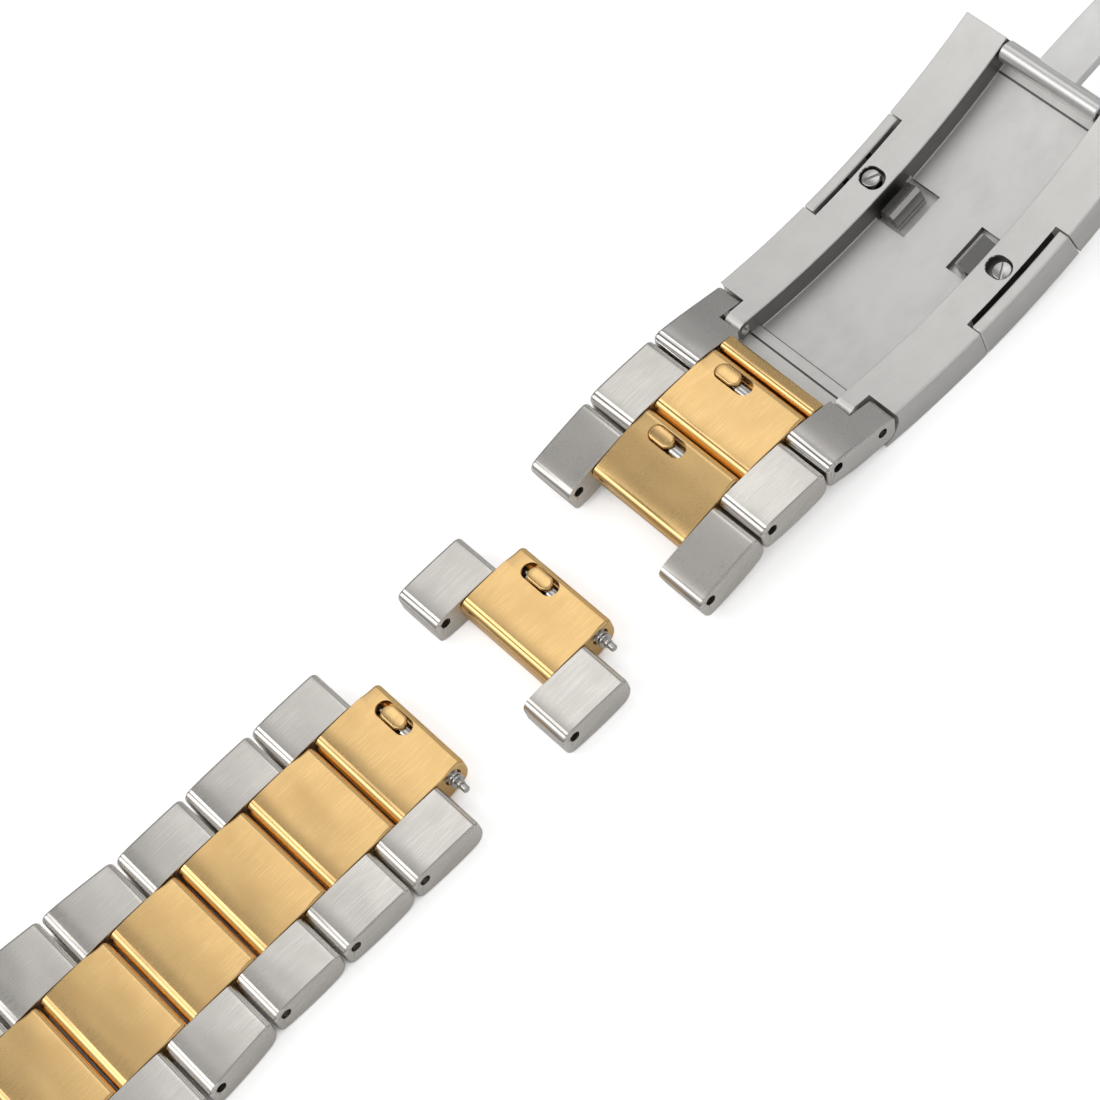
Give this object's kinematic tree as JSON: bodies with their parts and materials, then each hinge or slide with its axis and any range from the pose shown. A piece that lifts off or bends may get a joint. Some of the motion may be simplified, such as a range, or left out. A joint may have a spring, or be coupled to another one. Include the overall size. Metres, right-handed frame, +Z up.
{
  "type": "metal watch bracelet",
  "caption": "Two-tone metal watch bracelet with quick-release links and a double-blade folding clasp, laid open with its inner face up.",
  "frame": {"origin": "On the table, under the middle of the layout's length and of the bracelet's width.", "axes": "+X runs along the bracelet toward the clasp and its blades, +Y across it toward the levers, +Z up, the way the inner face looks."},
  "size_m": [0.1761, 0.0258, 0.0105],
  "materials": {
    "gold_brushed": "gold-coloured plating over steel, brushed along the bracelet, with polished edges",
    "steel_brushed": "steel brushed along the bracelet, with polished edges",
    "clasp_steel": "brushed steel, matt in the channel of the clasp",
    "steel_bright": "bright drawn steel",
    "spring_steel": "drawn spring wire"
  },
  "bodies": {
    "clasp_cover": {"clasp_cover": "clasp_steel", "blade_pin": "steel_bright", "left_button_spring": "spring_steel", "right_button_spring": "spring_steel"},
    "inner_blade": {"inner_blade": "steel_bright", "outer_blade_pin": "steel_bright"},
    "outer_blade": {"outer_blade": "steel_bright"},
    "left_button": {"left_button": "clasp_steel", "left_button_screw": "steel_bright"},
    "right_button": {"right_button": "clasp_steel", "right_button_screw": "steel_bright"},
    "end_link": {"end_link_sides": "steel_brushed", "end_link_strip": "gold_brushed", "end_link_pin": "steel_bright", "clasp_hinge_pins": "steel_bright"},
    "link_2": {"link_2_centre": "gold_brushed", "link_2_sides": "steel_brushed", "link_2_pins": "steel_bright", "link_2_bar": "steel_bright", "link_2_spring": "spring_steel"},
    "link_2_lever": {"link_2_lever": "gold_brushed"},
    "link_1": {"link_1_centre": "gold_brushed", "link_1_sides": "steel_brushed", "link_1_pins": "steel_bright", "link_1_bar": "steel_bright", "link_1_spring": "spring_steel"},
    "link_1_lever": {"link_1_lever": "gold_brushed"},
    "loose_link": {"loose_link_centre": "gold_brushed", "loose_link_sides": "steel_brushed", "loose_link_pins": "steel_bright", "loose_link_bar": "steel_bright", "loose_link_spring": "spring_steel"},
    "loose_link_lever": {"loose_link_lever": "gold_brushed"},
    "run_link_1": {"run_link_1_centre": "gold_brushed", "run_link_1_sides": "steel_brushed", "run_link_1_pins": "steel_bright", "run_link_1_bar": "steel_bright", "run_link_1_spring": "spring_steel"},
    "run_link_1_lever": {"run_link_1_lever": "gold_brushed"},
    "run_link_2": {"run_link_2_centre": "gold_brushed", "run_link_2_sides": "steel_brushed", "run_link_2_pins": "steel_bright"},
    "run_link_3": {"run_link_3_centre": "gold_brushed", "run_link_3_sides": "steel_brushed", "run_link_3_pins": "steel_bright"},
    "run_link_4": {"run_link_4_centre": "gold_brushed", "run_link_4_sides": "steel_brushed", "run_link_4_pins": "steel_bright"},
    "run_link_5": {"run_link_5_centre": "gold_brushed", "run_link_5_sides": "steel_brushed", "run_link_5_pins": "steel_bright"},
    "run_link_6": {"run_link_6_centre": "gold_brushed", "run_link_6_sides": "steel_brushed", "run_link_6_pins": "steel_bright"},
    "lug_link": {"lug_link_centre": "gold_brushed", "lug_link_sides": "steel_brushed", "lug_link_pins": "steel_bright", "lug_bar": "steel_bright", "lug_bar_spring": "spring_steel"},
    "lug_lever": {"lug_bar_lever": "gold_brushed"}
  },
  "joints": [
    {"name": "end_link_hinge", "type": "hinge", "parent": "clasp_cover", "child": "end_link", "pos_m": [0.00421, 0, 0.00264], "axis": [0, 1, 0], "range_deg": [0, 45]},
    {"name": "link_2_hinge", "type": "hinge", "parent": "end_link", "child": "link_2", "pos_m": [-0.00038, 0, 0.00357], "axis": [0, 1, 0], "range_deg": [0, 51]},
    {"name": "link_1_hinge", "type": "hinge", "parent": "link_2", "child": "link_1", "pos_m": [-0.00748, 0, 0.00367], "axis": [0, 1, 0], "range_deg": [0, 51]},
    {"name": "loose_link_slide", "type": "slide", "parent": "clasp_cover", "child": "loose_link", "axis": [1, 0, 0], "range_m": [0, 0.0054]},
    {"name": "run_slide", "type": "slide", "parent": "clasp_cover", "child": "run_link_1", "axis": [1, 0, 0], "range_m": [0, 0.0064]},
    {"name": "run_link_2_hinge", "type": "hinge", "parent": "run_link_1", "child": "run_link_2", "pos_m": [-0.04468, 0, 0.00185], "axis": [0, 1, 0], "range_deg": [-11, 40]},
    {"name": "run_link_3_hinge", "type": "hinge", "parent": "run_link_2", "child": "run_link_3", "pos_m": [-0.05178, 0, 0.00185], "axis": [0, 1, 0], "range_deg": [-11, 40]},
    {"name": "run_link_4_hinge", "type": "hinge", "parent": "run_link_3", "child": "run_link_4", "pos_m": [-0.05888, 0, 0.00185], "axis": [0, 1, 0], "range_deg": [-11, 40]},
    {"name": "run_link_5_hinge", "type": "hinge", "parent": "run_link_4", "child": "run_link_5", "pos_m": [-0.06598, 0, 0.00185], "axis": [0, 1, 0], "range_deg": [-11, 40]},
    {"name": "run_link_6_hinge", "type": "hinge", "parent": "run_link_5", "child": "run_link_6", "pos_m": [-0.07308, 0, 0.00185], "axis": [0, 1, 0], "range_deg": [-11, 40]},
    {"name": "lug_link_hinge", "type": "hinge", "parent": "run_link_6", "child": "lug_link", "pos_m": [-0.08018, 0, 0.00185], "axis": [0, 1, 0], "range_deg": [-11, 40]},
    {"name": "inner_blade_hinge", "type": "hinge", "parent": "clasp_cover", "child": "inner_blade", "pos_m": [0.03447, 0, 0.00654], "axis": [0, -1, 0], "range_deg": [0, 190.4]},
    {"name": "outer_blade_hinge", "type": "hinge", "parent": "inner_blade", "child": "outer_blade", "pos_m": [0.06272, 0, 0.00557], "axis": [0, -1, 0], "range_deg": [-190.4, 0]},
    {"name": "link_2_lever_slide", "type": "slide", "parent": "link_2", "child": "link_2_lever", "axis": [0, -1, 0], "range_m": [0, 0.0012], "stiffness_N_per_m": 400, "springref_m": -0.001, "deforming": ["link_2_spring"]},
    {"name": "link_1_lever_slide", "type": "slide", "parent": "link_1", "child": "link_1_lever", "axis": [0, -1, 0], "range_m": [0, 0.0012], "stiffness_N_per_m": 400, "springref_m": -0.001, "deforming": ["link_1_spring"]},
    {"name": "loose_link_lever_slide", "type": "slide", "parent": "loose_link", "child": "loose_link_lever", "axis": [0, -1, 0], "range_m": [0, 0.0006], "stiffness_N_per_m": 400, "springref_m": -0.001, "deforming": ["loose_link_spring"]},
    {"name": "run_link_1_lever_slide", "type": "slide", "parent": "run_link_1", "child": "run_link_1_lever", "axis": [0, -1, 0], "range_m": [0, 0.0006], "stiffness_N_per_m": 400, "springref_m": -0.001, "deforming": ["run_link_1_spring"]},
    {"name": "lug_lever_slide", "type": "slide", "parent": "lug_link", "child": "lug_lever", "axis": [0, -1, 0], "range_m": [0, 0.0012], "stiffness_N_per_m": 400, "springref_m": -0.001, "deforming": ["lug_bar_spring"]},
    {"name": "left_button_slide", "type": "slide", "parent": "clasp_cover", "child": "left_button", "axis": [0, -1, 0], "range_m": [0, 0.0004], "stiffness_N_per_m": 600, "springref_m": -0.0006, "deforming": ["left_button_spring"]},
    {"name": "right_button_slide", "type": "slide", "parent": "clasp_cover", "child": "right_button", "axis": [0, 1, 0], "range_m": [0, 0.0004], "stiffness_N_per_m": 600, "springref_m": -0.0006, "deforming": ["right_button_spring"]}
  ],
  "couplings": [
    {"joint": "outer_blade_hinge", "follows": "inner_blade_hinge", "ratio": -1}
  ]
}
